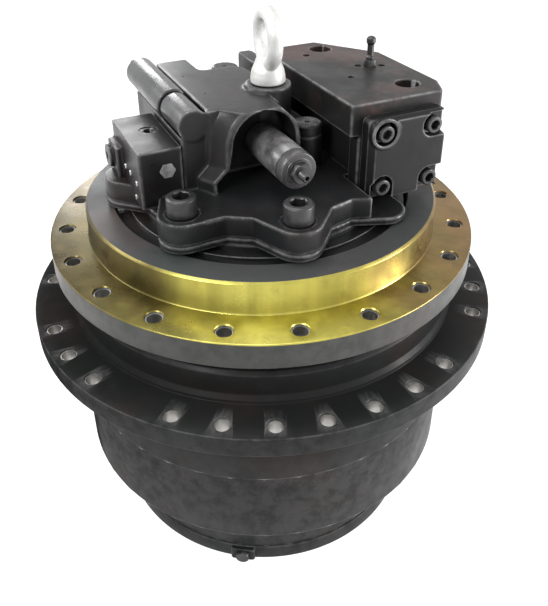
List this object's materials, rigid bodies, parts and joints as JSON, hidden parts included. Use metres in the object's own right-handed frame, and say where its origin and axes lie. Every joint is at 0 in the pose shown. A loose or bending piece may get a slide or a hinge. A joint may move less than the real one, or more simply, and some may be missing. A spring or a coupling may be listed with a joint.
{
  "type": "excavator final drive",
  "caption": "Crawler travel drive with a planetary hub, a sprocket flange, a gold mounting flange, a piston motor under valve castings, and a lifting eye.",
  "frame": {"origin": "middle of the end cover's resting face, on the axis of the drive", "axes": "+Z runs along the axis of the drive, from the end cover up to the motor and its lifting eye; -Y points at the picture's camera and +X to its right"},
  "size_m": [0.54, 0.54, 0.6113],
  "materials": {
    "black_paint": "gloss black paint over cast iron",
    "gold_finish": "machined, yellow zinc passivated",
    "dark_steel": "black oxide",
    "bright_steel": "ground",
    "gear_steel": "case hardened and ground",
    "bronze": "lapped bearing bronze",
    "friction_lining": "sintered friction lining",
    "white_zinc": "bright zinc plated forging"
  },
  "bodies": {
    "motor": {"motor_case": "black_paint", "rear_cover": "black_paint", "brake_valve_block": "black_paint", "counterbalance_block": "black_paint", "spool_cap": "black_paint", "speed_valve_housing": "black_paint", "relief_valve_1": "black_paint", "relief_valve_2": "black_paint", "port_plug": "black_paint", "spindle_flange": "gold_finish", "cap_screw_1": "dark_steel", "cap_screw_2": "dark_steel", "cap_screw_3": "dark_steel", "cap_screw_4": "dark_steel", "cover_bolt_1": "dark_steel", "cover_bolt_2": "dark_steel", "cover_bolt_3": "dark_steel", "cover_bolt_4": "dark_steel", "relief_adjuster_1": "dark_steel", "relief_adjuster_2": "dark_steel", "speed_valve_plug": "dark_steel", "spool_plug": "dark_steel", "bleed_nipple": "dark_steel", "bearing_nut": "dark_steel", "carrier_2": "dark_steel", "brake_steel_plate": "bright_steel", "upper_bearing_cone": "gear_steel", "lower_bearing_cone": "gear_steel", "case_seal_ring": "gear_steel", "shaft_front_bearing": "gear_steel", "shaft_rear_bearing": "gear_steel", "swash_plate": "gear_steel", "valve_plate": "bronze", "eye_bolt": "white_zinc"},
    "hub": {"sprocket_hub": "black_paint", "upper_bearing_cup": "gear_steel", "lower_bearing_cup": "gear_steel", "hub_seal_ring": "gear_steel", "ring_gear_1": "black_paint", "ring_gear_2": "black_paint", "end_cover": "black_paint", "oil_plug": "dark_steel", "thrust_pad": "bronze"},
    "rotor": {"drive_shaft": "bright_steel", "sun_gear_1": "gear_steel", "cylinder_block": "gear_steel", "piston_group": "bright_steel", "brake_friction_disc": "friction_lining"},
    "first_carrier": {"carrier_1": "dark_steel", "sun_gear_2": "gear_steel"},
    "brake_piston": {"brake_piston": "bright_steel", "brake_spring": "dark_steel"},
    "counterbalance_spool": {"counterbalance_spool": "bright_steel"},
    "speed_spool": {"speed_spool": "bright_steel"},
    "planet_1_1": {"planet_1_1": "gear_steel"},
    "planet_1_2": {"planet_1_2": "gear_steel"},
    "planet_1_3": {"planet_1_3": "gear_steel"},
    "planet_2_1": {"planet_2_1": "gear_steel"},
    "planet_2_2": {"planet_2_2": "gear_steel"},
    "planet_2_3": {"planet_2_3": "gear_steel"}
  },
  "joints": [
    {"name": "hub_spin", "type": "hinge", "parent": "motor", "child": "hub", "pos_m": [0, 0, 0.25], "axis": [0, 0, 1], "continuous": true},
    {"name": "rotor_spin", "type": "hinge", "parent": "motor", "child": "rotor", "pos_m": [0, 0, 0.35], "axis": [0, 0, 1], "continuous": true},
    {"name": "first_carrier_spin", "type": "hinge", "parent": "motor", "child": "first_carrier", "pos_m": [0, 0, 0.09], "axis": [0, 0, 1], "continuous": true},
    {"name": "planet_1_1_spin", "type": "hinge", "parent": "first_carrier", "child": "planet_1_1", "pos_m": [0, 0.099, 0.055], "axis": [0, 0, 1], "continuous": true},
    {"name": "planet_1_2_spin", "type": "hinge", "parent": "first_carrier", "child": "planet_1_2", "pos_m": [-0.08574, -0.0495, 0.055], "axis": [0, 0, 1], "continuous": true},
    {"name": "planet_1_3_spin", "type": "hinge", "parent": "first_carrier", "child": "planet_1_3", "pos_m": [0.08574, -0.0495, 0.055], "axis": [0, 0, 1], "continuous": true},
    {"name": "planet_2_1_spin", "type": "hinge", "parent": "motor", "child": "planet_2_1", "pos_m": [0, 0.117, 0.139], "axis": [0, 0, 1], "continuous": true},
    {"name": "planet_2_2_spin", "type": "hinge", "parent": "motor", "child": "planet_2_2", "pos_m": [-0.10132, -0.0585, 0.139], "axis": [0, 0, 1], "continuous": true},
    {"name": "planet_2_3_spin", "type": "hinge", "parent": "motor", "child": "planet_2_3", "pos_m": [0.10132, -0.0585, 0.139], "axis": [0, 0, 1], "continuous": true},
    {"name": "brake_release", "type": "slide", "parent": "motor", "child": "brake_piston", "axis": [0, 0, 1], "range_m": [0, 0.0025]},
    {"name": "counterbalance_shift", "type": "slide", "parent": "motor", "child": "counterbalance_spool", "axis": [-0.4067, 0.9135, 0], "range_m": [-0.008, 0.008]},
    {"name": "speed_shift", "type": "slide", "parent": "motor", "child": "speed_spool", "axis": [-0.4067, 0.9135, 0], "range_m": [0, 0.008]}
  ],
  "couplings": [
    {"joint": "rotor_spin", "follows": "hub_spin", "ratio": -22.04},
    {"joint": "first_carrier_spin", "follows": "hub_spin", "ratio": -3.8},
    {"joint": "planet_1_1_spin", "follows": "hub_spin", "ratio": 13.029},
    {"joint": "planet_1_2_spin", "follows": "hub_spin", "ratio": 13.029},
    {"joint": "planet_1_3_spin", "follows": "hub_spin", "ratio": 13.029},
    {"joint": "planet_2_1_spin", "follows": "hub_spin", "ratio": 2.7143},
    {"joint": "planet_2_2_spin", "follows": "hub_spin", "ratio": 2.7143},
    {"joint": "planet_2_3_spin", "follows": "hub_spin", "ratio": 2.7143}
  ]
}
